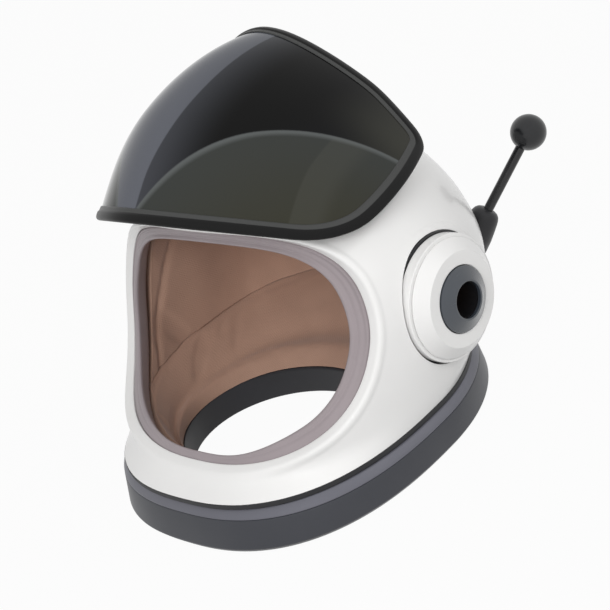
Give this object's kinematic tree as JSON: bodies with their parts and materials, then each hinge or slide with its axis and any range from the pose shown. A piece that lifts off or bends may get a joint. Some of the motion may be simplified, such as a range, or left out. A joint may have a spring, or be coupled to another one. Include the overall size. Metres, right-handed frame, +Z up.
{
  "type": "astronaut helmet",
  "caption": "Full-pressure style helmet with a raised sliding visor, padded liner, neck ring, ear ports and a ball-tipped antenna.",
  "frame": {"origin": "middle of the neck ring's flat underside, on the helmet's middle plane", "axes": "+Z up out of the neck ring, -Y ahead of the wearer, +X to the wearer's left"},
  "size_m": [0.344, 0.4016, 0.322],
  "materials": {
    "shell_white": "gloss",
    "frame_grey": "satin",
    "foam": "matte",
    "lining": "soft",
    "ring_slate": "satin",
    "collar_slate": "satin",
    "gasket_rubber": "matte",
    "seal_rubber": "matte",
    "screw_steel": "satin",
    "nut_metal": "satin",
    "port_black": "matte",
    "lock_slate": "gloss",
    "visor_tint": "gloss",
    "bead_rubber": "satin",
    "track_metal": "satin",
    "carriage_plastic": "satin",
    "glide_plastic": "satin",
    "boot_rubber": "satin",
    "rod_black": "gloss",
    "ball_black": "satin"
  },
  "bodies": {
    "root": {"outer_shell": "shell_white", "face_frame": "frame_grey", "foam_liner": "foam", "soft_liner": "lining", "left_cheek_pad": "lining", "right_cheek_pad": "lining", "neck_pad": "lining", "left_ear_cushion": "lining", "right_ear_cushion": "lining", "neck_ring": "ring_slate", "neck_collar": "collar_slate", "shell_gasket": "gasket_rubber", "neck_seal": "seal_rubber", "neck_ring_screws": "screw_steel", "left_port_gasket": "gasket_rubber", "right_port_gasket": "gasket_rubber", "left_port_nut": "nut_metal", "right_port_nut": "nut_metal", "left_port_collar": "shell_white", "right_port_collar": "shell_white", "left_port_cap": "shell_white", "right_port_cap": "shell_white", "left_port_socket": "port_black", "right_port_socket": "port_black", "left_earphone": "port_black", "right_earphone": "port_black", "crown_track": "track_metal", "track_stops": "carriage_plastic", "track_screws": "screw_steel", "antenna_flange": "gasket_rubber", "antenna_boot": "boot_rubber", "antenna_rod": "rod_black", "antenna_ball": "ball_black"},
    "visor": {"visor_lens": "visor_tint", "visor_bead": "bead_rubber", "visor_carriage": "carriage_plastic", "carriage_glides": "glide_plastic", "visor_arm": "track_metal", "arm_screws": "screw_steel"},
    "knob": {"lock_knob": "carriage_plastic"},
    "left_lock": {"left_lock_ring": "lock_slate"},
    "right_lock": {"right_lock_ring": "lock_slate"}
  },
  "joints": [
    {"name": "visor_swing", "type": "hinge", "parent": "root", "child": "visor", "pos_m": [0, 0.0475, 0.112], "axis": [1, 0, 0], "range_deg": [0, 60]},
    {"name": "knob_turn", "type": "hinge", "parent": "visor", "child": "knob", "pos_m": [0, 0.15395, 0.22301], "axis": [0, 0.6921, 0.7218], "range_deg": [0, 90]},
    {"name": "left_lock_turn", "type": "hinge", "parent": "root", "child": "left_lock", "pos_m": [0, 0.0475, 0.112], "axis": [1, 0, 0], "range_deg": [0, 40]},
    {"name": "right_lock_turn", "type": "hinge", "parent": "root", "child": "right_lock", "pos_m": [0, 0.0475, 0.112], "axis": [1, 0, 0], "range_deg": [-40, 0]}
  ]
}
